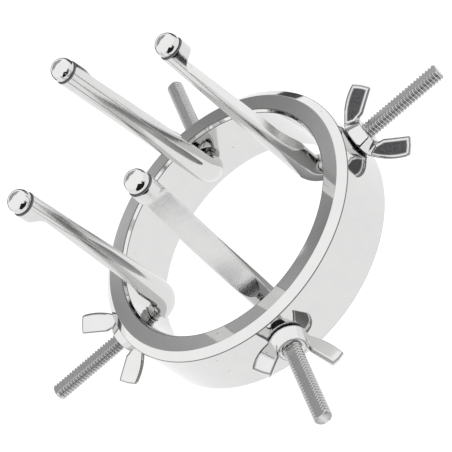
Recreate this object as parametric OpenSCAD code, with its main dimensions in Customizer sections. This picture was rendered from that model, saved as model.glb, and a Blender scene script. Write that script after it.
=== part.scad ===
// Ring retractor with four screw-adjusted prongs.
// Each prong hangs on a flatted threaded stud that slides through the ring wall, and a wing nut on
// the stud draws the prong outwards against the ring. The ring lies on Z = 0, and the prongs stand
// up along +Z. Millimetres.

/* [Ring] */
// Outside diameter of the ring
ring_od = 105; // [96:0.5:120]
// Thickness of the ring's wall
ring_wall = 9.3; // [7:0.1:12]
// Width of the ring along its axis
ring_w = 24; // [21:0.5:32]
// Depth along the axis of the large chamfer on the front outer edge
front_chamfer_depth = 2.3; // [1:0.1:4]
// Width across the face of the large chamfer on the front outer edge
front_chamfer_run = 2.9; // [1:0.1:4]
// Depth along the axis of the small chamfer on the front inner edge
bore_chamfer_depth = 1.3; // [0.4:0.1:2.5]
// Width across the face of the small chamfer on the front inner edge
bore_chamfer_run = 0.8; // [0.3:0.1:2]
// Size of the broken edges on the back face
back_break = 0.4; // [0.2:0.1:1.5]
// Height of the stud holes above the back face
stud_height = 11; // [10.8:0.1:13]

/* [Studs] */
// Diameter of the stud over its thread crests
stud_d = 6.2; // [5:0.1:7]
// Length of the stud beyond the foot of the prong
stud_length = 49.5; // [40:0.5:60]
// Thickness of the stud across its two flats
stud_flats = 4.4; // [3.4:0.1:4.6]
// Bevel on the free end of each stud
stud_bevel = 0.7; // [0.3:0.1:1.2]
// Radial clearance of the stud in the round part of its hole
hole_clearance = 0.08; // [0.05:0.01:0.1]
// Clearance between each flat of the stud and the hole, which lets the prong turn a little
flat_slack = 0.3; // [0.3:0.01:0.5]

/* [Prongs] */
// Height of the ball centre above the stud axis
prong_reach = 78; // [60:1:95]
// Diameter of the bar at its foot
foot_d = 9.2; // [8:0.1:10]
// Diameter of the bar at its tip
tip_d = 8.9; // [8:0.1:10]
// Radius of the bend along the middle of the bar
bend_r = 6.3; // [5.4:0.1:7]
// Distance from the inner face of the arm to the end of the foot, where the stud starts
foot_end = 9.8; // [9.4:0.1:10.2]
// Diameter of the polished ball end
ball_d = 8.3; // [7:0.1:8.6]
// Depth of the ball centre above the shoulder that it grows from
ball_rise = 1.4; // [0.8:0.1:2]
// Bevel on the shoulder below the ball
shoulder_bevel = 0.45; // [0.2:0.05:0.8]
// Thickness left below the tip by the flat on the outer side
tip_thickness = 3.7; // [3:0.1:5]
// Length of full round bar left below the ball centre
bulb_length = 6.5; // [5.5:0.5:12]
// Radius of the step between the round tip and the flat
step_r = 4.5; // [2:0.5:5]
// Slope of the flat, which thickens the arm towards its foot
flat_slope = 3; // [1:0.25:4]
// Height above the stud axis where the flat starts to run out
run_out_height = 23; // [20:0.5:28]
// Radius of the run-out at the foot of the flat
run_out_r = 26; // [18:1:40]

/* [Wing nuts] */
// Diameter of the nut where it seats
nut_base_d = 13; // [11:0.2:15]
// Diameter of the nut at its top
nut_top_d = 10; // [9:0.1:11]
// Height of the nut without its wings
nut_h = 5.2; // [4.6:0.1:7]
// Radial clearance between the nut's bore and the stud
nut_clearance = 0.05; // [0.03:0.01:0.1]
// Distance from the nut's axis to the corner of a wing
wing_reach = 15.7; // [13:0.1:15.7]
// Height of the wings above the seat of the nut
wing_h = 15.5; // [13:0.1:18]
// Thickness of a wing
wing_t = 2.2; // [1.8:0.1:2.4]
// Bevel along the edges of a wing
wing_bevel = 0.55; // [0.3:0.05:0.8]
// Gap between the nut's flat seat and the round ring
seat_gap = 0.3; // [0.2:0.05:0.5]

/* [Setting] */
// Gap between the inside of the ring and the foot of each prong on X
foot_gap_x = 3.2; // [1:0.1:20]
// Gap between the inside of the ring and the foot of each prong on Y
foot_gap_y = 2.4; // [1:0.1:20]
// Degrees that each prong has turned in the slack of its hole
prong_turn = [5, 2.3, 2.6, 5]; // [0:0.1:5.2]
// Degrees between each nut's wings and the plane of the ring
wing_turn = [42, 42, -42, -42]; // [-42:1:42]

/* [Hidden] */
$fn = 96;
// Overrun of every cut past the face that it opens
over = 1;
ring_r = ring_od / 2;
bore_r = ring_r - ring_wall;
foot_r = foot_d / 2;
tip_r = tip_d / 2;
ball_r = ball_d / 2;
stud_r = stud_d / 2;
shoulder_z = prong_reach - ball_rise;
// Centre of the bend along the stud
foot_x = foot_r + bend_r;
// Height of the flat below its step, and the thickness where the run-out begins
flat_top = prong_reach - bulb_length;
run_out_x = tip_thickness + (flat_top - run_out_height) * tan(flat_slope);
// Shares of the wing's height and reach that set the two corners of its tip
wing_corner_share = 0.72;
wing_inner_share = 0.675;
// How far the wing stands straight up on the hub's rim before it flares outwards
wing_rise = 2.3;
wing_rise_run = 0.4;
// How far the lower edge of a wing bulges past a straight line
wing_belly_depth = 1.2;
// Corners of a wing: at its root on the seat, at the two ends of its tip, and where it flares
wing_root = [nut_base_d / 2, 0];
wing_corner = [wing_reach, wing_h * wing_corner_share];
wing_top = [wing_reach * wing_inner_share, wing_h];
wing_bend = [nut_top_d / 2 + wing_rise_run, nut_h + wing_rise];
hub_rim = [nut_top_d / 2, nut_h];
// The circle through the root and the corner whose arc is the wing's belly
belly_chord = wing_corner - wing_root;
belly_r = norm(belly_chord) ^ 2 / (8 * wing_belly_depth) + wing_belly_depth / 2;
belly_centre = (wing_root + wing_corner) / 2
    + [-belly_chord[1], belly_chord[0]] / norm(belly_chord) * (belly_r - wing_belly_depth);

// The closed steel band, with its four flatted stud holes.
module ring() {
    color("silver")
        difference() {
            rotate_extrude($fn = 180)
                ring_section();
            for (side = [0 : 3])
                rotate([0, 0, side * 90])
                    stud_hole();
        }
}

// Half section of the band, from the back face to the chamfered front.
module ring_section() {
    polygon([
        [bore_r + back_break, 0],
        [ring_r - back_break, 0],
        [ring_r, back_break],
        [ring_r, ring_w - front_chamfer_depth],
        [ring_r - front_chamfer_run, ring_w],
        [bore_r + bore_chamfer_run, ring_w],
        [bore_r, ring_w - bore_chamfer_depth],
        [bore_r, back_break]
    ]);
}

// The hole follows the stud, round at its sides and flat above and below.
module stud_hole() {
    translate([bore_r - over, 0, stud_height])
        rotate([0, 90, 0])
            linear_extrude(ring_wall + 2 * over)
                flatted_circle(stud_r + hole_clearance, stud_flats / 2 + flat_slack);
}

// A circle with two flats, which face along the first axis.
module flatted_circle(radius, half_flats) {
    intersection() {
        circle(radius);
        square([2 * half_flats, 2 * radius + over], center = true);
    }
}

// One prong, set in its hole. Its stud points away from the ring's axis.
module prong(side) {
    gap = side % 2 == 0 ? foot_gap_x : foot_gap_y;
    color("gainsboro")
        rotate([0, 0, side * 90])
            translate([bore_r - gap - foot_end, 0, stud_height])
                rotate([-prong_turn[side], 0, 0])
                    bent_prong();
}

// The prong as one bent bar: inner face of the arm at x = 0, stud axis on the x axis.
module bent_prong() {
    union() {
        flatted_arm();
        bend();
        stud();
        ball_tip();
    }
}

// The round arm, milled flat on its outer side from below the tip to the foot.
module flatted_arm() {
    difference() {
        translate([foot_r, 0, bend_r])
            cylinder(h = shoulder_z - shoulder_bevel - bend_r, r1 = foot_r, r2 = tip_r);
        rotate([90, 0, 0])
            linear_extrude(foot_d + 2 * over, center = true)
                mill_path();
    }
}

// Side view of what the cutter removes: a sloped flat with a round step and a long run-out.
module mill_path() {
    flat_length = flat_top - run_out_height;
    translate([run_out_x, run_out_height])
        rotate(flat_slope) {
            square([foot_d, flat_length / cos(flat_slope) - step_r]);
            translate([step_r, 0])
                square([foot_d, flat_length / cos(flat_slope)]);
            translate([step_r, flat_length / cos(flat_slope) - step_r])
                circle(step_r);
            translate([run_out_r, 0])
                circle(run_out_r, $fn = 180);
        }
}

// Quarter turn from the arm to the foot, squared off where the stud starts.
module bend() {
    difference() {
        translate([foot_x, 0, bend_r])
            rotate([90, 0, 0])
                rotate([0, 0, 180])
                    rotate_extrude(angle = 90)
                        translate([bend_r, 0])
                            circle(foot_r);
        translate([foot_end, -foot_d / 2 - over, -foot_d / 2 - over])
            cube(foot_d + 2 * over);
    }
}

// The stud with its two flats, bevelled at the free end.
module stud() {
    intersection() {
        translate([foot_end - over, 0, 0])
            rotate([0, 90, 0]) {
                cylinder(h = stud_length + over - stud_bevel, r = stud_r);
                translate([0, 0, stud_length + over - stud_bevel])
                    cylinder(h = stud_bevel, r1 = stud_r, r2 = stud_r - stud_bevel);
            }
        translate([foot_end - over, -stud_r - over, -stud_flats / 2])
            cube([stud_length + 2 * over, stud_d + 2 * over, stud_flats]);
    }
}

// The ball end, which rises from a bevelled shoulder.
module ball_tip() {
    translate([foot_r, 0, shoulder_z - shoulder_bevel])
        cylinder(h = shoulder_bevel, r1 = tip_r, r2 = tip_r - shoulder_bevel);
    translate([foot_r, 0, prong_reach])
        sphere(ball_r);
}

// One wing nut, seated against the outside of the ring.
module wing_nut(side) {
    color("lightgray")
        rotate([0, 0, side * 90])
            translate([ring_r + seat_gap, 0, stud_height])
                rotate([wing_turn[side], 0, 0])
                    rotate([0, 90, 0])
                        nut_body();
}

// The nut with its axis along z: a tapered hub, two wings and the bore for the stud.
module nut_body() {
    difference() {
        union() {
            cylinder(h = nut_h, r1 = nut_base_d / 2, r2 = nut_top_d / 2);
            for (turn = [0, 180])
                rotate([0, 0, turn])
                    rotate([90, 0, 90])
                        wing();
        }
        translate([0, 0, -over])
            cylinder(h = wing_h + 2 * over, r = stud_r + nut_clearance);
    }
}

// One wing laid flat: x is the distance from the nut's axis, and y the height above its seat.
// It is what the bevelled disc of its belly and its three bevelled straight edges leave of a block.
module wing() {
    intersection() {
        translate([0, 0, -wing_t / 2])
            cube([wing_reach + over, wing_h + over, wing_t]);
        translate(belly_centre)
            rotate_extrude($fn = 180)
                polygon([
                    [0, -wing_t / 2],
                    [belly_r - wing_bevel, -wing_t / 2],
                    [belly_r, wing_bevel - wing_t / 2],
                    [belly_r, wing_t / 2 - wing_bevel],
                    [belly_r - wing_bevel, wing_t / 2],
                    [0, wing_t / 2]
                ]);
        left_of(wing_corner, wing_top);
        left_of(wing_top, wing_bend);
        left_of(wing_bend, hub_rim);
    }
}

// A bevelled plate that covers all that lies on the left of the line from one point to the next.
module left_of(from, to) {
    along = to - from;
    reach = 4 * wing_reach;
    translate(from)
        rotate(atan2(along[1], along[0]))
            translate([-reach / 2, 0])
                rotate([90, 0, 90])
                    linear_extrude(reach)
                        polygon([
                            [0, wing_bevel - wing_t / 2],
                            [wing_bevel, -wing_t / 2],
                            [reach, -wing_t / 2],
                            [reach, wing_t / 2],
                            [wing_bevel, wing_t / 2],
                            [0, wing_t / 2 - wing_bevel]
                        ]);
}

ring();
prong(0);  // prong_1
prong(1);  // prong_2
prong(2);  // prong_3
prong(3);  // prong_4
wing_nut(0);  // wing_nut_1
wing_nut(1);  // wing_nut_2
wing_nut(2);  // wing_nut_3
wing_nut(3);  // wing_nut_4
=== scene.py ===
"""Looks of a ring retractor: a polished steel band, four screw-adjusted prongs and wing nuts."""

import math

import bmesh
import bpy
import numpy as np
from mathutils import Matrix, Vector


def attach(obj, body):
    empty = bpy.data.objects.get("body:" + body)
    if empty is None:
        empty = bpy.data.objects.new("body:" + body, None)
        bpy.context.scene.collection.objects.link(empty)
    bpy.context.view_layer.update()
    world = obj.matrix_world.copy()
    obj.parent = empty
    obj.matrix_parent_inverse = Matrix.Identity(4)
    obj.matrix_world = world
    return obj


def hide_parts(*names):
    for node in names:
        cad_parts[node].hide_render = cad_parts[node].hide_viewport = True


bl_info = {
    "name": "Ring Retractor",
    "version": (1, 0, 0),
    "blender": (4, 5, 0),
    "location": "View3D > Sidebar > Retractor",
    "description": "Builds a polished ring retractor with four screw-adjusted prongs",
    "category": "Add Mesh",
}

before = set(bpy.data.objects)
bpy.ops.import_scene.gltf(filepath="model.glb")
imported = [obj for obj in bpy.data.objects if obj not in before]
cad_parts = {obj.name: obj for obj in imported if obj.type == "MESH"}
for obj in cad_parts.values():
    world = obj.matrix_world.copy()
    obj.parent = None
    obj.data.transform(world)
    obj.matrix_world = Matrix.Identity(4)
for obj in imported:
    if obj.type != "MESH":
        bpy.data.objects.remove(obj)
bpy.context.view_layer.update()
MM = 0.001
SIDES = 4
# Steps round the band, and points round each bar. On each side of a bar's milled flat the first
# points lie on the flat, and the next ones on its eased edge.
RING_STEPS = 360
AROUND = 96
FLAT_POINTS = 8
EDGE_POINTS = 6
# The turn that the flat's and edge's points take up where a bar is round and its points even.
EVEN_SPREAD = 2 * math.pi * (FLAT_POINTS + EDGE_POINTS) / AROUND
ARC_POINTS = 5
# Where a prong's thread starts, from the inner face of its arm, and how far a nut's seat stands
# off the band, in millimetres.
FOOT_END = 9.8
NUT_GAP = 0.3


class RingSizes(bpy.types.PropertyGroup):
    """Sizes of the closed band."""

    outer: bpy.props.FloatProperty(
        name="Outside diameter",
        description="Outside diameter of the band, in millimetres",
        default=105.0,
        min=90.0,
    )
    wall: bpy.props.FloatProperty(
        name="Wall",
        description="Thickness of the band's wall, in millimetres",
        default=9.3,
        min=5.0,
    )
    width: bpy.props.FloatProperty(
        name="Width",
        description="Width of the band along its axis, in millimetres",
        default=24.0,
        min=18.0,
    )
    stud_height: bpy.props.FloatProperty(
        name="Stud height",
        description="Height of the stud holes above the back face, in millimetres",
        default=11.0,
        min=8.0,
    )


class ProngSizes(bpy.types.PropertyGroup):
    """Sizes of the bent prongs and their studs."""

    reach: bpy.props.FloatProperty(
        name="Reach",
        description="Height of the ball's centre above the stud's axis, in millimetres",
        default=78.0,
        min=40.0,
    )
    foot_d: bpy.props.FloatProperty(
        name="Foot diameter",
        description="Diameter of the bar at its bent foot, in millimetres",
        default=9.2,
        min=7.0,
    )
    tip_d: bpy.props.FloatProperty(
        name="Tip diameter",
        description="Diameter of the bar below its ball end, in millimetres",
        default=8.9,
        min=7.0,
    )
    ball_d: bpy.props.FloatProperty(
        name="Ball diameter",
        description="Diameter of the ball end, in millimetres",
        default=8.3,
        min=5.0,
    )
    stud_d: bpy.props.FloatProperty(
        name="Thread diameter",
        description="Diameter over the crests of the stud's thread, in millimetres",
        default=6.2,
        min=4.0,
    )
    stud_flats: bpy.props.FloatProperty(
        name="Across flats",
        description="Thickness of the stud across its two flats, in millimetres",
        default=4.4,
        min=3.0,
    )
    pitch: bpy.props.FloatProperty(
        name="Thread pitch",
        description="Pitch of the right-hand thread, 20 to the inch, in millimetres",
        default=1.27,
        min=0.8,
    )


class NutSizes(bpy.types.PropertyGroup):
    """Sizes of the wing nuts."""

    base_d: bpy.props.FloatProperty(
        name="Seat diameter",
        description="Diameter of the nut where it seats on the band, in millimetres",
        default=13.0,
        min=8.0,
    )
    top_d: bpy.props.FloatProperty(
        name="Top diameter",
        description="Diameter of the nut at its top, in millimetres",
        default=10.0,
        min=7.0,
    )
    height: bpy.props.FloatProperty(
        name="Height",
        description="Height of the nut without its wings, in millimetres",
        default=5.2,
        min=4.0,
    )
    reach: bpy.props.FloatProperty(
        name="Wing reach",
        description="Distance from the nut's axis to the end of a wing, in millimetres",
        default=15.7,
        min=10.0,
    )
    wing_h: bpy.props.FloatProperty(
        name="Wing height",
        description="Height of the wings above the nut's seat, in millimetres",
        default=15.5,
        min=10.0,
    )
    wing_t: bpy.props.FloatProperty(
        name="Wing thickness",
        description="Thickness of a wing, in millimetres",
        default=2.2,
        min=1.0,
    )


class SteelFinish(bpy.types.PropertyGroup):
    """Finish of the polished steel."""

    tint: bpy.props.StringProperty(
        name="Steel colour",
        description="Colour of polished stainless steel, as an sRGB hex value",
        default="#D9D9D7",
    )
    haze: bpy.props.StringProperty(
        name="Haze colour",
        description="Colour of the steel under a haze of fine scratches, as an sRGB hex value",
        default="#CFD0D0",
    )
    # The scale colours also paint the shade in grooves and the dark reflection lines along edges.
    scale_and_shade_dark: bpy.props.StringProperty(
        name="Dark scale colour",
        description="Darker colour of a forged face that was never polished, as an sRGB hex value",
        default="#2C2C2E",
    )
    scale_and_shade_light: bpy.props.StringProperty(
        name="Light scale colour",
        description="Lighter colour of a forged face that was never polished, as an sRGB hex value",
        default="#6A6A6C",
    )
    line_strength: bpy.props.FloatProperty(
        name="Wheel lines",
        description="Strength of the lines that the polishing wheel leaves",
        default=0.15,
        min=0.0,
        max=1.0,
        subtype="FACTOR",
    )
    roughness: bpy.props.FloatProperty(
        name="Roughness",
        description="Roughness of the hand-polished faces",
        default=0.03,
        min=0.0,
        max=1.0,
        subtype="FACTOR",
    )


# What sets each prong apart: the gap behind its foot, its lean in the slack of its hole, and the
# turn of its nut's wings out of the plane of the band.
FOOT_GAPS = (3.2, 2.4, 3.2, 2.4)
LEANS = (5.0, 2.3, 2.6, 5.0)
WING_TURNS = (42.0, 42.0, -42.0, -42.0)
# How far the panels of each nut's wings were left as forged: 0 is polished like the rest.
RAW_PANELS = (1.0, 0.0, 0.0, 0.0)


def linear(code):
    """An sRGB hex value as linear red, green, blue and alpha."""
    parts = [int(code[i : i + 2], 16) / 255 for i in (1, 3, 5)]
    return [c / 12.92 if c <= 0.04045 else ((c + 0.055) / 1.055) ** 2.4 for c in parts] + [1.0]


def add_node(tree, kind, links=(), **settings):
    """Adds a node, sets its attributes or sockets, and links them.

    A socket is named by its name, or by i and its index where names repeat. Each link is the node's
    own socket, the other node and the other's socket.
    """
    node = tree.nodes.new(kind)
    for key, value in settings.items():
        if hasattr(node, key):
            setattr(node, key, value)
        else:
            socket = int(key[1:]) if key[1:].isdigit() else key.replace("_", " ")
            node.inputs[socket].default_value = value
    for own, other, out in links:
        tree.links.new(node.inputs[own], other.outputs[out])
    return node


def polished_stainless_steel(finish):
    """Martensitic stainless steel, ground and then mirror polished by hand on a soft wheel.

    It gives the eye a clear mirror that is a little wavy, faint wheel lines, and dull dots where a
    pit was left. Forged faces the wheel never reached stay dark and matt, and the same dark, matt
    steel is painted as shade in grooves and thread roots and as dark reflection lines along edges.
    """
    material = bpy.data.materials.new("polished_stainless_steel")
    material.use_nodes = True
    tree = material.node_tree
    tree.nodes.clear()
    place = add_node(tree, "ShaderNodeTexCoord")

    def noise(source, out, scale, detail):
        return add_node(
            tree, "ShaderNodeTexNoise", links=[("Vector", source, out)], Scale=scale, Detail=detail
        )

    def stretched(scale):
        return add_node(
            tree, "ShaderNodeMapping", links=[("Vector", place, "Object")], Scale=scale
        )

    def maths(operation, *links, **values):
        return add_node(tree, "ShaderNodeMath", operation=operation, links=links, **values)

    # The wheel's lines are about 0.02 mm apart. They are drawn 0.35 mm apart, as fine as a pixel
    # shows.
    lines = noise(stretched((2900, 2900, 160)), "Vector", 1.0, 2.0)
    # Haze from handling, in patches of about 6 mm, and pits of 0.3 mm some 4 mm apart.
    haze = noise(place, "Object", 170.0, 3.0)
    cells = add_node(
        tree, "ShaderNodeTexVoronoi", links=[("Vector", place, "Object")], Scale=260.0
    )
    pits = add_node(
        tree,
        "ShaderNodeMapRange",
        links=[("Value", cells, "Distance")],
        From_Min=0.05,
        From_Max=0.09,
        To_Min=1.0,
        To_Max=0.0,
    )
    # Only one pit in four is deep enough to see.
    deep = add_node(
        tree,
        "ShaderNodeMapRange",
        links=[("Value", cells, "Color")],
        From_Min=0.62,
        From_Max=0.66,
    )
    pits = maths("MULTIPLY", (0, pits, 0), (1, deep, 0))
    # Scale left on a forged face, in grains of about 0.7 mm. The painted shade and painted dark
    # reflection lines use it too.
    grain = noise(place, "Object", 1400.0, 4.0)
    # How far each point is left unpolished, or painted with shade or dark reflection lines.
    raw_and_shade = add_node(tree, "ShaderNodeAttribute", attribute_name="unpolished_and_shade")
    # The milled flats were only brushed, so they blur what they reflect.
    milled = add_node(tree, "ShaderNodeAttribute", attribute_name="milled")
    # The cutter's ticks run across the bars, 0.1 mm apart, and are drawn 0.6 mm apart.
    ticks = noise(stretched((260, 260, 1700)), "Vector", 1.0, 2.0)
    ticks = maths("MULTIPLY", (0, ticks, 0), (1, milled, "Fac"))
    # Scale, painted shade, painted dark reflection lines and pits show as darker steel, and the
    # pits half as strongly.
    dark = maths("MULTIPLY_ADD", (0, pits, 0), (2, raw_and_shade, "Fac"), i1=0.5)
    tint = add_node(tree, "ShaderNodeMix", data_type="RGBA", links=[(0, haze, "Fac")])
    tint.inputs[6].default_value = linear(finish.tint)
    tint.inputs[7].default_value = linear(finish.haze)
    scale = add_node(tree, "ShaderNodeMix", data_type="RGBA", links=[(0, grain, "Fac")])
    scale.inputs[6].default_value = linear(finish.scale_and_shade_dark)
    scale.inputs[7].default_value = linear(finish.scale_and_shade_light)
    colour = add_node(
        tree,
        "ShaderNodeMix",
        data_type="RGBA",
        links=[(0, dark, 0), (6, tint, 2), (7, scale, 2)],
    )
    shine = add_node(
        tree,
        "ShaderNodeMapRange",
        links=[("Value", haze, "Fac")],
        From_Min=0.35,
        From_Max=0.75,
        To_Min=finish.roughness,
        To_Max=finish.roughness + 0.05,
    )
    # Pits, brushed flats, and scale with the painted shade each make the mirror duller.
    pitted = maths("MULTIPLY_ADD", (0, pits, 0), (2, shine, 0), i1=0.25)
    brushed = maths("MULTIPLY_ADD", (0, milled, "Fac"), (2, pitted, 0), i1=0.16)
    rough = maths("MULTIPLY_ADD", (0, raw_and_shade, "Fac"), (2, brushed, 0), i1=0.4)
    # Bumps in metres: the wheel's lines, the cutter's ticks, and the slow waves of hand polishing.
    fine = add_node(
        tree,
        "ShaderNodeBump",
        Strength=finish.line_strength,
        Distance=0.00001,
        links=[("Height", lines, "Fac")],
    )
    ticked = add_node(
        tree,
        "ShaderNodeBump",
        Strength=0.3,
        Distance=0.00006,
        links=[("Height", ticks, 0), ("Normal", fine, "Normal")],
    )
    wavy = add_node(
        tree,
        "ShaderNodeBump",
        Strength=0.05,
        Distance=0.0002,
        links=[("Height", haze, "Fac"), ("Normal", ticked, "Normal")],
    )
    shader = add_node(
        tree,
        "ShaderNodeBsdfPrincipled",
        Metallic=1.0,
        links=[("Base Color", colour, 2), ("Roughness", rough, 0), ("Normal", wavy, "Normal")],
    )
    add_node(tree, "ShaderNodeOutputMaterial", links=[("Surface", shader, "BSDF")])
    return material


def steel():
    """The one steel that every piece is made of."""
    found = bpy.data.materials.get("polished_stainless_steel")
    return found or polished_stainless_steel(bpy.context.scene.steel_finish)


def new_piece(name, verts, faces, sharp=40.0, marks=()):
    """An object from millimetre points, smooth but for edges sharper than the angle."""
    mesh = bpy.data.meshes.new(name)
    mesh.from_pydata([tuple(c * MM for c in v) for v in verts], [], faces)
    mesh.validate()
    piece = bpy.data.objects.new(name, mesh)
    for mark, values in marks:
        set_mark(piece, mark, values)
    bm = bmesh.new()
    bm.from_mesh(mesh)
    bmesh.ops.remove_doubles(bm, verts=bm.verts, dist=1e-6)
    bmesh.ops.recalc_face_normals(bm, faces=bm.faces)
    bm.to_mesh(mesh)
    bm.free()
    mesh.shade_smooth()
    mesh.set_sharp_from_angle(angle=math.radians(sharp))
    bpy.context.scene.collection.objects.link(piece)
    return piece


def set_mark(piece, name, values):
    """Keeps a value from 0 to 1 for each point, which the steel's finish reads by its name."""
    attribute = piece.data.attributes.new(name, "FLOAT", "POINT")
    attribute.data.foreach_set("value", np.asarray(values, dtype=np.float32))


def skin(rings, close_ring=False):
    """Points and faces of a tube through rings of equal count, capped by fans or joined up."""
    count = len(rings[0])
    verts = [tuple(p) for ring in rings for p in ring]
    faces = []
    last = len(rings) if close_ring else len(rings) - 1
    for i in range(last):
        a, b = i * count, (i + 1) % len(rings) * count
        for j in range(count):
            k = (j + 1) % count
            faces.append((a + j, a + k, b + k, b + j))
    if not close_ring:
        for start, ring in ((0, rings[0]), ((len(rings) - 1) * count, rings[-1])):
            verts.append(tuple(np.mean(ring, axis=0)))
            hub = len(verts) - 1
            faces += [(start + j, start + (j + 1) % count, hub) for j in range(count)]
    return verts, faces


def rounded_profile(corners):
    """A closed outline whose corners (x, y, radius) are turned into arcs."""
    points = []
    for i, (x, y, radius) in enumerate(corners):
        before, after = corners[i - 1], corners[(i + 1) % len(corners)]
        here = np.array((x, y))
        a = np.array(before[:2]) - here
        b = np.array(after[:2]) - here
        a, b = a / np.linalg.norm(a), b / np.linalg.norm(b)
        half = math.acos(max(-1.0, min(1.0, float(a @ b)))) / 2
        cut = radius / math.tan(half)
        centre = here + (a + b) / np.linalg.norm(a + b) * radius / math.sin(half)
        start, end = here + a * cut - centre, here + b * cut - centre
        t0, t1 = math.atan2(start[1], start[0]), math.atan2(end[1], end[0])
        turn = (t1 - t0 + math.pi) % (2 * math.pi) - math.pi
        for k in range(ARC_POINTS):
            t = t0 + turn * k / (ARC_POINTS - 1)
            points.append(centre + radius * np.array((math.cos(t), math.sin(t))))
    return points


def lathe(profile, steps):
    """Rings of the closed (radius, height) profile, one for each step round the z axis."""
    rings = []
    for i in range(steps):
        t = 2 * math.pi * i / steps
        rings.append([(r * math.cos(t), r * math.sin(t), z) for r, z in profile])
    return rings


def cut_away(piece, cutter, sharp=35.0):
    """Cuts the cutter's shape out of the piece, and deletes the cutter."""
    modifier = piece.modifiers.new("cut", "BOOLEAN")
    modifier.operation = "DIFFERENCE"
    modifier.solver = "EXACT"
    modifier.object = cutter
    graph = bpy.context.evaluated_depsgraph_get()
    mesh = bpy.data.meshes.new_from_object(piece.evaluated_get(graph))
    piece.modifiers.clear()
    piece.data = mesh
    bm = bmesh.new()
    bm.from_mesh(mesh)
    bmesh.ops.dissolve_degenerate(bm, dist=2e-6, edges=bm.edges)
    bm.to_mesh(mesh)
    bm.free()
    mesh.shade_smooth()
    mesh.set_sharp_from_angle(angle=math.radians(sharp))
    bpy.data.objects.remove(cutter)


def gathered(j, spread):
    """Angle of point j of a section whose flat and its edges lie within the spread about 0."""
    near = FLAT_POINTS + EDGE_POINTS
    if j <= near:
        return spread * j / near
    if j >= AROUND - near:
        return 2 * math.pi - spread * (AROUND - j) / near
    share = (j - near) / (AROUND - 2 * near)
    return spread + (2 * math.pi - 2 * spread) * share


def section_angles(spread=EVEN_SPREAD):
    """Angle of each point of a round section."""
    return [gathered(j, spread) for j in range(AROUND)]


def d_section(radius, clip, fillet):
    """Section points of a round bar cut flat at a distance from its centre, with eased edges.

    Also gives the angle at which the eased edge starts.
    """
    offset = clip - fillet
    angle = math.acos(offset / (radius - fillet))
    rise = (radius - fillet) * math.sin(angle)
    points = []
    for j in range(AROUND):
        k = min(j, AROUND - j)
        if k <= FLAT_POINTS:
            x, y = clip, rise * k / FLAT_POINTS
        elif k <= FLAT_POINTS + EDGE_POINTS:
            t = angle * (k - FLAT_POINTS) / EDGE_POINTS
            x, y = offset + fillet * math.cos(t), rise + fillet * math.sin(t)
        else:
            t = gathered(k, angle)
            x, y = radius * math.cos(t), radius * math.sin(t)
        points.append((x, y if j == k else -y))
    return points, angle


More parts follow.
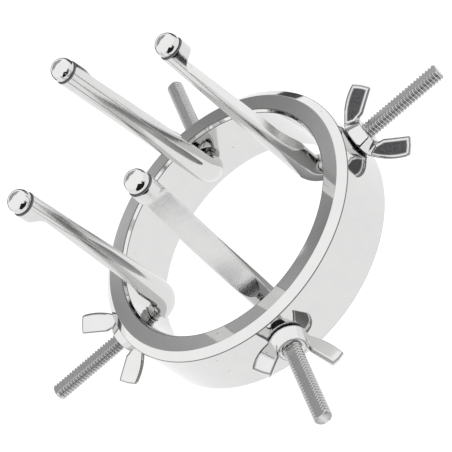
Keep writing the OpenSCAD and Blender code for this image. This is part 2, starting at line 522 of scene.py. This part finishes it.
def prong_rings(sizes):
    """Rings of the whole bent bar: inner face of the arm at x = 0, stud along x, ball end up.

    Also gives the marks of its points for the steel's finish, painted shade among them.
    """
    foot_r, tip_r, ball_r = sizes.foot_d / 2, sizes.tip_d / 2, sizes.ball_d / 2
    bend_r, foot_fillet, ball_rise, bevel = 6.3, 0.3, 1.4, 0.45
    stud_length, stud_bevel = 49.5, 0.7
    # The milled flat: its step under the ball end, its slope, and its run-out above the foot.
    tip_thickness, bulb_length, step_r, slope = 3.7, 6.5, 4.5, math.radians(3)
    run_out_height, run_out_r, fillet, least_cut = 23.0, 26.0, 0.3, 0.02
    shoulder = sizes.reach - ball_rise
    flat_top = sizes.reach - bulb_length
    run_out_x = tip_thickness + (flat_top - run_out_height) * math.tan(slope)
    flat_length = (flat_top - run_out_height) / math.cos(slope)
    foot_x = foot_r + bend_r

    def circle(x, z, radius, spread=EVEN_SPREAD):
        return [
            (x + radius * math.cos(t), radius * math.sin(t), z) for t in section_angles(spread)
        ]

    def cut_edge(z):
        """Distance of the cutter from the arm's inner face, and a far one where it doesn't cut."""
        nearest = 99.0
        c, s = math.cos(slope), math.sin(slope)
        if 0 <= (z - run_out_height) / c <= flat_length - step_r:
            nearest = run_out_x - (z - run_out_height) * math.tan(slope)
        for cx, cy, radius in (
            (step_r, flat_length - step_r, step_r),
            (run_out_r, 0.0, run_out_r),
        ):
            x0 = run_out_x + cx * c - cy * s
            z0 = run_out_height + cx * s + cy * c
            if abs(z - z0) <= radius:
                nearest = min(nearest, x0 - math.sqrt(radius * radius - (z - z0) ** 2))
        return nearest

    # The ball, from its pole down to the shoulder, and the bevel that leaves a groove under it.
    rings = []
    low = math.asin(-ball_rise / ball_r)
    for i in range(1, 25):
        t = math.pi / 2 + (low - math.pi / 2) * i / 24
        rings.append(circle(foot_r, sizes.reach + ball_r * math.sin(t), ball_r * math.cos(t)))
    groove = len(rings)
    for t in np.radians((0, 20, 40, 60, 80, 90)):
        z = shoulder - bevel * (1 - math.cos(t))
        rings.append(circle(foot_r, z, tip_r - bevel * (1 - math.sin(t))))

    # The arm. Its rings are closer together at the flat's round step and in its run-out.
    arm = len(rings)
    top, bottom = shoulder - bevel, bend_r
    ceiling = run_out_height + step_r * math.sin(slope)
    ceiling += (flat_length - step_r) * math.cos(slope) + step_r
    heights = [*np.linspace(top - 0.6, ceiling + 0.12, 8), ceiling + 0.02]
    heights += [ceiling - step_r * (1 - math.cos(t)) for t in np.linspace(0.03, math.pi / 2, 22)]
    heights += [*np.linspace(heights[-1] - 1.0, run_out_height + 1.0, 18)]
    heights += [*np.linspace(run_out_height, bottom + 0.1, 44)]
    cut_rings, leave = [], None
    for z in heights:
        radius = foot_r + (tip_r - foot_r) * (z - bottom) / (top - bottom)
        clip = cut_edge(z) - foot_r
        if clip < radius - least_cut:
            section, angle = d_section(radius, clip, fillet)
            leave = z
            cut_rings.append(len(rings))
            rings.append([(foot_r + x, y, z) for x, y in section])
        elif leave is None:
            # The flat's points draw together towards the step.
            down = (top - z) / (top - ceiling)
            spread = EVEN_SPREAD + (math.radians(28) - EVEN_SPREAD) * down
            rings.append(circle(foot_r, z, radius, spread))
        else:
            # They are even again 4 mm below the run-out.
            spread = angle + (EVEN_SPREAD - angle) * min(1.0, (leave - z) / 4.0)
            rings.append(circle(foot_r, z, radius, spread))

    # The bend, squared off with an eased edge where the stud starts.
    square = FOOT_END - foot_fillet
    for i in range(19):
        ring = []
        for a in section_angles():
            swing = bend_r - foot_r * math.cos(a)
            t = math.acos((foot_x - square) / swing) * i / 18
            x, z = foot_x - swing * math.cos(t), bend_r - swing * math.sin(t)
            ring.append((x, foot_r * math.sin(a), z))
        rings.append(ring)
    middle = (ring[0][2] + ring[AROUND // 2][2]) / 2
    for t in np.radians((30, 60, 90)):
        shrink = 1 - foot_fillet * (1 - math.cos(t)) / foot_r
        x = square + foot_fillet * math.sin(t)
        rings.append([(x, y * shrink, middle + (z - middle) * shrink) for _, y, z in ring])

    threads = stud_rings(sizes, FOOT_END, FOOT_END + stud_length, stud_bevel, 0.0)
    rings += threads

    # The thread's roots are painted darker, as painted shade in its grooves, and its flats are a
    # little darker and only milled.
    around = np.linalg.norm(np.array(threads)[:, :, 1:], axis=2)
    thread_shade_and_flat_tone = np.clip(1 - (around - sizes.stud_d / 2 + 0.5) / 0.5, 0.0, 0.55)
    on_flat = np.abs(np.array(threads)[:, :, 2]) > sizes.stud_flats / 2 - 0.01
    thread_shade_and_flat_tone[on_flat] = 0.14
    # The groove under the ball is painted dark, as painted shade under the ball. The bars
    # themselves are brushed half as much as their flats, down to about 7 mm above the bend.
    raw_and_shade, milled = np.zeros((len(rings), AROUND)), np.zeros((len(rings), AROUND))
    raw_and_shade[groove - 1 : arm - 1] = 0.9
    raw_and_shade[-len(threads) :] = thread_shade_and_flat_tone
    brushed_rings = 74
    milled[arm : arm + brushed_rings] = 0.5
    milled[cut_rings, :FLAT_POINTS] = 1
    milled[cut_rings, 1 - FLAT_POINTS :] = 1
    milled[-len(threads) :][on_flat] = 0.7
    # The two points at the middle of the end caps have no marks.
    marks = (("unpolished_and_shade", raw_and_shade), ("milled", milled))
    marks = [(name, [*mark.ravel(), 0, 0]) for name, mark in marks]
    return rings, marks


def stud_rings(sizes, start, end, bevel, grow, flats=True):
    """Rings of the threaded stud along x. Grow adds to every radius, for the thread of a nut."""
    crest = sizes.stud_d / 2 + grow
    root = sizes.stud_d / 2 - 0.46 * sizes.pitch + grow
    half = sizes.stud_flats / 2
    stations = list(np.arange(start, end, sizes.pitch / 8)) + [end]
    rings = []
    for x in stations:
        ring = []
        for j in range(AROUND):
            a = 2 * math.pi * j / AROUND
            phase = (x / sizes.pitch + a / (2 * math.pi)) % 1.0
            rise = (abs(2 * phase - 1) - 0.2) / 0.675
            radius = root + (crest - root) * min(1.0, max(0.0, rise))
            if bevel:
                # The thread fades out into a plain, bevelled end.
                plain = min(1.0, max(0.0, (end - x) / 0.8 - 0.6))
                radius = crest - 0.06 + (radius - crest + 0.06) * plain
                radius = min(radius, crest - bevel + (end - x))
            if flats:
                radius = min(radius, half / max(1e-6, abs(math.cos(a))))
            ring.append((x, radius * math.sin(a), radius * math.cos(a)))
        rings.append(ring)
    return rings


def arm_face(side):
    """Distance of the inner face of a prong's arm from the band's axis, in millimetres."""
    ring = bpy.context.scene.ring_sizes
    return ring.outer / 2 - ring.wall - FOOT_GAPS[side] - FOOT_END


def placed(side):
    """Where the prong of a side stands, in metres."""
    height = bpy.context.scene.ring_sizes.stud_height
    return (
        Matrix.Rotation(math.radians(90 * side), 4, "Z")
        @ Matrix.Translation((arm_face(side) * MM, 0, height * MM))
        @ Matrix.Rotation(math.radians(-LEANS[side]), 4, "X")
    )


class RETRACTOR_OT_ring(bpy.types.Operator):
    """Build the closed band with its chamfers and flatted stud holes"""

    bl_idname = "retractor.ring"
    bl_label = "Band"

    def execute(self, context):
        sizes, prong = context.scene.ring_sizes, context.scene.prong_sizes
        outer, top = sizes.outer / 2, sizes.width
        inner = outer - sizes.wall
        # Each chamfer as its size across the wall and along the axis.
        outer_chamfer, bore_chamfer = (2.9, 2.3), (0.8, 1.3)
        profile = rounded_profile(
            [
                (inner, 0, 0.4),
                (outer, 0, 0.4),
                (outer, top - outer_chamfer[1], 0.25),
                (outer - outer_chamfer[0], top, 0.2),
                (inner + bore_chamfer[0], top, 0.2),
                (inner, top - bore_chamfer[1], 0.25),
            ]
        )
        # A point beside each arc keeps the shading of the faces flat up to it.
        guard = 0.18
        arcs = [profile[k : k + ARC_POINTS] for k in range(0, len(profile), ARC_POINTS)]
        guarded = []
        for k, arc in enumerate(arcs):
            before, after = arcs[k - 1][-1], arcs[(k + 1) % len(arcs)][0]
            guarded.append(arc[0] + (before - arc[0]) / np.linalg.norm(before - arc[0]) * guard)
            guarded += arc
            guarded.append(arc[-1] + (after - arc[-1]) / np.linalg.norm(after - arc[-1]) * guard)
        rings = lathe(guarded, RING_STEPS)
        band = new_piece("ring_band", *skin(rings, close_ring=True), sharp=60)
        # Thin dark lines are painted at these corners, as painted reflections along the band's
        # edges.
        lines = [arcs[k][ARC_POINTS // 2] for k in (1, 2, 4, 5)]
        points = [np.array((math.hypot(v.co.x, v.co.y), v.co.z)) / MM for v in band.data.vertices]
        near = [min(np.abs(point - line).max() for line in lines) < 0.13 for point in points]
        set_mark(band, "unpolished_and_shade", [0.9 * value for value in near])
        # Each hole is a little larger than its stud.
        hole_r, hole_flat = prong.stud_d / 2 + 0.08, 2.5
        for side in range(SIDES):
            section = []
            for j in range(AROUND):
                a = 2 * math.pi * j / AROUND
                r = min(hole_r, hole_flat / max(1e-6, abs(math.cos(a))))
                section.append((r * math.sin(a), r * math.cos(a)))
            rings = [
                [(x, y, z + sizes.stud_height) for y, z in section] for x in (inner - 2, outer + 2)
            ]
            cutter = new_piece("cutter", *skin(rings))
            cutter.data.transform(Matrix.Rotation(math.radians(90 * side), 4, "Z"))
            cut_away(band, cutter)
        band.data.materials.append(steel())
        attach(band, "ring")
        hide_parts("ring")
        return {"FINISHED"}


class RETRACTOR_OT_prongs(bpy.types.Operator):
    """Build the four bent prongs with their ball ends, flats and threaded studs"""

    bl_idname = "retractor.prongs"
    bl_label = "Prongs"

    def execute(self, context):
        sizes = context.scene.prong_sizes
        rings, marks = prong_rings(sizes)
        verts, faces = skin(rings)
        for side in range(SIDES):
            name = f"prong_{side + 1}"
            prong = new_piece(name + "_bar", verts, faces, sharp=38, marks=marks)
            prong.data.materials.append(steel())
            prong.data.transform(placed(side))
            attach(prong, name)
            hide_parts(name)
        return {"FINISHED"}


class RETRACTOR_OT_wing_nuts(bpy.types.Operator):
    """Build the four forged wing nuts"""

    bl_idname = "retractor.wing_nuts"
    bl_label = "Wing nuts"

    def execute(self, context):
        sizes, prong = context.scene.nut_sizes, context.scene.prong_sizes
        ring = context.scene.ring_sizes
        blank = nut_blank(sizes)
        for side in range(SIDES):
            name = f"wing_nut_{side + 1}"
            nut = bpy.data.objects.new(name + "_body", blank.data.copy())
            bpy.context.scene.collection.objects.link(nut)
            set_mark(nut, "unpolished_and_shade", raw_panels_and_shade(nut, sizes, RAW_PANELS[side]))
            nut.data.transform(
                Matrix.Rotation(math.radians(90 * side), 4, "Z")
                @ Matrix.Translation(((ring.outer / 2 + NUT_GAP) * MM, 0, ring.stud_height * MM))
                @ Matrix.Rotation(math.radians(WING_TURNS[side]), 4, "X")
                @ Matrix.Rotation(math.radians(90), 4, "Y")
            )
            # The thread is cut 0.1 mm larger than the stud's.
            seat = ring.outer / 2 + NUT_GAP - arm_face(side)
            rings = stud_rings(prong, seat - 2, seat + sizes.wing_h + 1, 0, 0.1, flats=False)
            cutter = new_piece("cutter", *skin(rings))
            cutter.data.transform(placed(side))
            cut_away(nut, cutter)
            nut.data.materials.clear()
            nut.data.materials.append(steel())
            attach(nut, name)
            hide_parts(name)
        bpy.data.objects.remove(blank)
        return {"FINISHED"}


def polygon_distance(points, outline):
    """Signed distance of 2D points from a closed outline, negative inside."""
    x, y = points
    nearest = np.full(x.shape, 1e9)
    inside = np.zeros(x.shape, bool)
    for (ax, ay), (bx, by) in zip(outline, outline[1:] + outline[:1]):
        ex, ey = bx - ax, by - ay
        share = np.clip(((x - ax) * ex + (y - ay) * ey) / (ex * ex + ey * ey), 0, 1)
        nearest = np.minimum(nearest, (x - ax - share * ex) ** 2 + (y - ay - share * ey) ** 2)
        if ay != by:
            inside ^= ((ay > y) != (by > y)) & (x < ex * (y - ay) / ey + ax)
    return np.where(inside, -1, 1) * np.sqrt(nearest)


def soft_max(a, b, blend):
    """The larger of two distances, rounded over where they are about equal."""
    return np.maximum(a, b) + np.maximum(blend - np.abs(a - b), 0) ** 2 / (4 * blend)


def wing_outline(sizes):
    """One wing seen from its side: distance from the nut's axis, and height above its seat."""
    root = np.array((sizes.base_d / 2, 0.0))
    corner = np.array((sizes.reach, sizes.wing_h * 0.72))
    tip = np.array((sizes.reach * 0.675, sizes.wing_h))
    rim = np.array((sizes.top_d / 2, sizes.height))
    chord = corner - root
    side = np.array((chord[1], -chord[0])) / np.linalg.norm(chord)
    belly = [root + chord * t + side * 4.8 * t * (1 - t) for t in np.linspace(0, 1, 13)]
    out = (corner + tip) / 2 + np.array((0.2, 0.24))
    corners = [(*q, 0.6 if 0 < i < 12 else 0.5) for i, q in enumerate(belly)]
    corners += [(*out, 2.0), (*tip, 0.6)]
    corners += [(rim[0] + 0.4, rim[1] + 2.3, 0.8), (rim[0], rim[1] - 0.4, 0.1), (3.9, 0.0, 0.1)]
    return [tuple(q) for q in rounded_profile(corners)]


def nut_distance(points, sizes, outline):
    """Signed distance from the nut's skin: a tapered hub and two bevelled wings, blended."""
    x, y, z = points
    base, top, height = sizes.base_d / 2, sizes.top_d / 2, sizes.height
    hub = [(-1.0, 0.0), (base - 0.35, 0.0), (base, 0.35), (base - 0.1, 0.8), (top, height - 0.25)]
    hub += [(top - 0.25, height), (3.9, height), (3.3, height - 0.6), (-1.0, height - 0.6)]
    body = polygon_distance((np.hypot(x, y), z), hub)
    face = np.abs(x) - sizes.wing_t / 2
    edge = polygon_distance((np.abs(y), z), outline)
    wing = soft_max(face, edge, 0.3)
    wing = soft_max(wing, (face + edge + 0.7) * 0.7071, 0.3)
    return soft_max(-soft_max(-body, -wing, 1.3), -z, 0.1)


def raw_panels_and_shade(nut, sizes, panels):
    """How dark each point of a nut is: painted shade at its seat and under its wings, painted
    reflection lines along its wing edges and hub rim, and its forged panels.
    """
    x, y, z = np.array([v.co for v in nut.data.vertices]).T / MM
    y = np.abs(y)
    inset = -polygon_distance((y, z), wing_outline(sizes))
    # A panel lies on a wing's flat side, from 1.1 mm inside its outline.
    panelled = np.clip((inset - 1.1) / 0.35, 0, 1) * (np.abs(x) < sizes.wing_t / 2 + 0.04) * panels
    root, corner = (sizes.base_d / 2, 0.0), (sizes.reach, sizes.wing_h * 0.72)
    below = (y - root[0]) * (corner[1] - root[1]) - (z - root[1]) * (corner[0] - root[0]) > 0
    # Painted shade along the lower edge of each wing's underside.
    belly = 0.8 * (below & (inset < 0.3) & (z < corner[1] - 0.8) & (y > root[0]))
    # Painted reflection: a thin dark line just inside each wing's outline, on its faces.
    face = np.abs(x) > sizes.wing_t / 2 - 0.6
    bevel = 0.9 * np.clip(1 - np.abs(inset - 0.42) / 0.34, 0, 1) * face * (z > sizes.height * 0.7)
    # Painted reflection: a thin dark line round the top rim of the hub.
    around = np.hypot(x, y)
    at_rim = (around > sizes.top_d / 2 - 0.6) & (around < sizes.top_d / 2 + 0.2)
    rim = 0.5 * ((np.abs(z - sizes.height) < 0.22) & at_rim)
    # Painted shade where the seat meets the band.
    seat = 0.8 * (z < 0.45)
    return np.max([panelled, belly, bevel, rim, seat], axis=0)


def nut_blank(sizes):
    """The forged nut, its axis along z and its seat on z = 0, without its bore."""
    outline = wing_outline(sizes)
    step = 0.3
    half = (sizes.base_d / 2 + 0.6, sizes.reach + 0.6)
    axes = [
        np.arange(-half[0], half[0] + step, step),
        np.arange(-half[1], half[1] + step, step),
        np.arange(-0.55, sizes.wing_h + 0.9, step),
    ]
    grid = np.meshgrid(*axes, indexing="ij")
    field = nut_distance(grid, sizes, outline)
    verts, faces = skin_of_field(axes, field)

    def distance(points):
        return nut_distance(points.T, sizes, outline)

    # Each point is drawn onto the exact skin, so that the polish shows no steps of the grid.
    for _ in range(4):
        value = distance(verts)
        shifts = np.eye(3) * 0.02
        slope = np.stack([distance(verts + a) - distance(verts - a) for a in shifts], axis=1)
        slope /= 0.04
        verts -= slope * (value / np.maximum((slope**2).sum(axis=1), 0.2))[:, None]
    return new_piece("nut_blank", verts.tolist(), faces.tolist(), sharp=50)


def skin_of_field(axes, field):
    """Points and quads of the surface where a sampled field changes sign."""
    inside = field < 0
    shape = tuple(n - 1 for n in field.shape)
    total, hits = np.zeros(shape + (3,)), np.zeros(shape)
    starts = [axis[:-1] for axis in axes]
    step = axes[0][1] - axes[0][0]
    for axis in range(3):
        others = [k for k in range(3) if k != axis]
        for a in (0, 1):
            for b in (0, 1):
                low = [slice(0, -1)] * 3
                low[others[0]] = slice(a, shape[others[0]] + a)
                low[others[1]] = slice(b, shape[others[1]] + b)
                high = list(low)
                high[axis] = slice(1, None)
                f0, f1 = field[tuple(low)], field[tuple(high)]
                crossed = inside[tuple(low)] != inside[tuple(high)]
                share = np.where(crossed, f0 / np.where(crossed, f0 - f1, 1), 0)
                point = np.zeros(shape + (3,))
                point[..., axis] = share
                point[..., others[0]] = a
                point[..., others[1]] = b
                total += point * crossed[..., None]
                hits += crossed
    used = hits > 0
    number = np.full(shape, -1)
    number[used] = np.arange(used.sum())
    corner = np.stack(np.meshgrid(*starts, indexing="ij"), axis=-1)
    verts = (corner + total / np.maximum(hits, 1)[..., None] * step)[used]
    faces = []
    for axis in range(3):
        low = [slice(1, -1)] * 3
        low[axis] = slice(0, -1)
        high = list(low)
        high[axis] = slice(1, None)
        here, there = inside[tuple(low)], inside[tuple(high)]
        cells = np.argwhere(here != there)
        flip = here[tuple(cells.T)]
        b, c = [np.eye(3, dtype=int)[k] for k in ((axis + 1) % 3, (axis + 2) % 3)]
        base = cells + b + c
        quad = [number[tuple((base - shift).T)] for shift in (b + c, c, 0 * b, b)]
        quad = np.stack(quad, axis=1)
        quad[~flip] = quad[~flip][:, ::-1]
        faces.append(quad)
    return verts, np.concatenate(faces)


class RETRACTOR_OT_stage(bpy.types.Operator):
    """Set up the floor, the soft lights and the camera"""

    bl_idname = "retractor.stage"
    bl_label = "Stage"

    def execute(self, context):
        scene = context.scene
        world = bpy.data.worlds.new("studio")
        scene.world = world
        world.use_nodes = True
        background = world.node_tree.nodes["Background"]
        background.inputs["Color"].default_value = (1, 1, 1, 1)
        background.inputs["Strength"].default_value = WORLD_LIGHT
        scene.view_settings.view_transform = "Standard"
        signs = ((-1, -1), (1, -1), (1, 1), (-1, 1))
        corners = [(x * FLOOR_HALF, y * FLOOR_HALF, 0) for x, y in signs]
        panel("floor", corners, FLOOR_LIGHT, True)
        for name, light, corners in FLAGS:
            panel(name, corners, light, False)
        camera = bpy.data.cameras.new("camera")
        camera.lens = 161.1
        camera.sensor_width = 36
        camera.clip_start = 0.01
        camera.clip_end = 20
        seen = bpy.data.objects.new("camera", camera)
        scene.collection.objects.link(seen)
        # The camera as it was fitted to the photo: its axes and its place, in metres.
        right = Vector((0.73474, -0.27817, -0.61869))
        up = Vector((0.62609, 0.62913, 0.46066))
        back = Vector((0.26109, -0.72582, 0.63641))
        seen.matrix_world = Matrix(
            (
                (right.x, up.x, back.x, 0.1817),
                (right.y, up.y, back.y, -0.5057),
                (right.z, up.z, back.z, 0.4633),
                (0, 0, 0, 1),
            )
        )
        scene.camera = seen
        return {"FINISHED"}


WORLD_LIGHT = 1.25
FLOOR_LIGHT = 1.12
FLOOR_HALF = 3.0


def on_floor(*corners):
    """Corners of a flag that lies just above the floor."""
    return [(x, y, 0.002) for x, y in corners]


# Flags round the set, which the polish shows as dark lines and shapes: name, how bright each is,
# and its corners in metres.
FLAGS = (
    # The dark wedge in the balls, and the dark edges of the bars.
    ("front_flag", 0.02, [(0.10, -0.62, 0.30), (-0.42, -0.62, -0.004), (0.42, -0.62, -0.004)]),
    (
        "side_flag",
        0.22,
        [(0.42, -0.62, -0.004), (0.78, -0.62, -0.004), (0.78, -0.62, 0.14), (0.42, -0.62, 0.14)],
    ),
    (
        "front_floor_flag",
        0.02,
        on_floor(
            (-0.42, -0.62),
            (0.60, -0.62),
            (0.21, -0.155),
            (0.06, -0.135),
            (-0.03, -0.16),
            (-0.12, -0.16),
        ),
    ),
    # Painted shade: a dark sheet on the floor inside the band, standing in for its shadow there and
    # seen only in mirrors; it gives the dark foot of the prong in front, seen through the band.
    (
        "bore_shadow_flag",
        0.32,
        on_floor(
            (-0.004, -0.0425),
            (0.022, -0.0365),
            (0.040, -0.015),
            (0.036, 0.006),
            (0.024, 0.014),
            (0.008, 0.002),
            (-0.003, -0.014),
        ),
    ),
    # The grey of the band's front face.
    ("sky_flag", 0.45, [(-0.9, 0.5, 0.35), (0.5, 1.0, 0.35), (0.45, 0.8, 1.3), (-0.8, 0.4, 1.3)]),
    # The dark shapes in the studs and nuts at the back.
    (
        "back_floor_flag",
        0.10,
        on_floor(
            (-0.19, 0.08),
            (-0.05, 0.155),
            (0.05, 0.155),
            (0.15, 0.10),
            (1.3, 1.2),
            (-1.4, 1.3),
        ),
    ),
)


def panel(name, corners, light, seen):
    """A flat panel of the set that gives off light: the floor, or a flag that only mirrors show."""
    mesh = bpy.data.meshes.new(name)
    mesh.from_pydata(corners, [], [tuple(range(len(corners)))])
    board = bpy.data.objects.new(name, mesh)
    bpy.context.scene.collection.objects.link(board)
    material = bpy.data.materials.new(name)
    material.use_nodes = True
    tree = material.node_tree
    tree.nodes.clear()
    glow = add_node(tree, "ShaderNodeEmission", Color=(1, 1, 1, 1), Strength=light)
    if not seen:
        # A flag is never lit evenly, so its light falls off in broad patches.
        place = add_node(tree, "ShaderNodeTexCoord")
        patch = add_node(
            tree,
            "ShaderNodeTexNoise",
            links=[("Vector", place, "Object")],
            Scale=8.0,
            Detail=1.0,
        )
        fall = add_node(
            tree,
            "ShaderNodeMapRange",
            links=[("Value", patch, 0)],
            From_Min=0.3,
            From_Max=0.7,
            To_Min=light * 0.5,
            To_Max=light * 1.5,
        )
        tree.links.new(glow.inputs["Strength"], fall.outputs[0])
    add_node(tree, "ShaderNodeOutputMaterial", links=[("Surface", glow, "Emission")])
    mesh.materials.append(material)
    board.visible_camera = seen


class RETRACTOR_PT_panel(bpy.types.Panel):
    """Lists the retractor's pieces and their sizes"""

    bl_idname = "RETRACTOR_PT_panel"
    bl_label = "Retractor"
    bl_space_type = "VIEW_3D"
    bl_region_type = "UI"
    bl_category = "Retractor"

    def draw(self, context):
        for name, _, operator in SETTINGS:
            box = self.layout.box()
            if operator:
                box.operator(operator.bl_idname)
            values = getattr(context.scene, name)
            for key in values.__annotations__:
                box.prop(values, key)
        self.layout.operator(RETRACTOR_OT_stage.bl_idname)


# The settings on the scene, their groups, and the operator that builds from them.
SETTINGS = (
    ("ring_sizes", RingSizes, RETRACTOR_OT_ring),
    ("prong_sizes", ProngSizes, RETRACTOR_OT_prongs),
    ("nut_sizes", NutSizes, RETRACTOR_OT_wing_nuts),
    ("steel_finish", SteelFinish, None),
)
CLASSES = (
    RingSizes,
    ProngSizes,
    NutSizes,
    SteelFinish,
    RETRACTOR_OT_ring,
    RETRACTOR_OT_prongs,
    RETRACTOR_OT_wing_nuts,
    RETRACTOR_OT_stage,
    RETRACTOR_PT_panel,
)


def register():
    """Registers the classes and hangs the settings on the scene."""
    for cls in CLASSES:
        bpy.utils.register_class(cls)
    for name, group, _ in SETTINGS:
        setattr(bpy.types.Scene, name, bpy.props.PointerProperty(type=group))


def unregister():
    """Takes the settings and classes away again."""
    for name, _, _ in SETTINGS:
        delattr(bpy.types.Scene, name)
    for cls in reversed(CLASSES):
        bpy.utils.unregister_class(cls)


def main():
    """Builds the retractor and its stage."""
    register()
    bpy.ops.retractor.ring()
    bpy.ops.retractor.prongs()
    bpy.ops.retractor.wing_nuts()
    bpy.ops.retractor.stage()


if __name__ == "__main__":
    main()
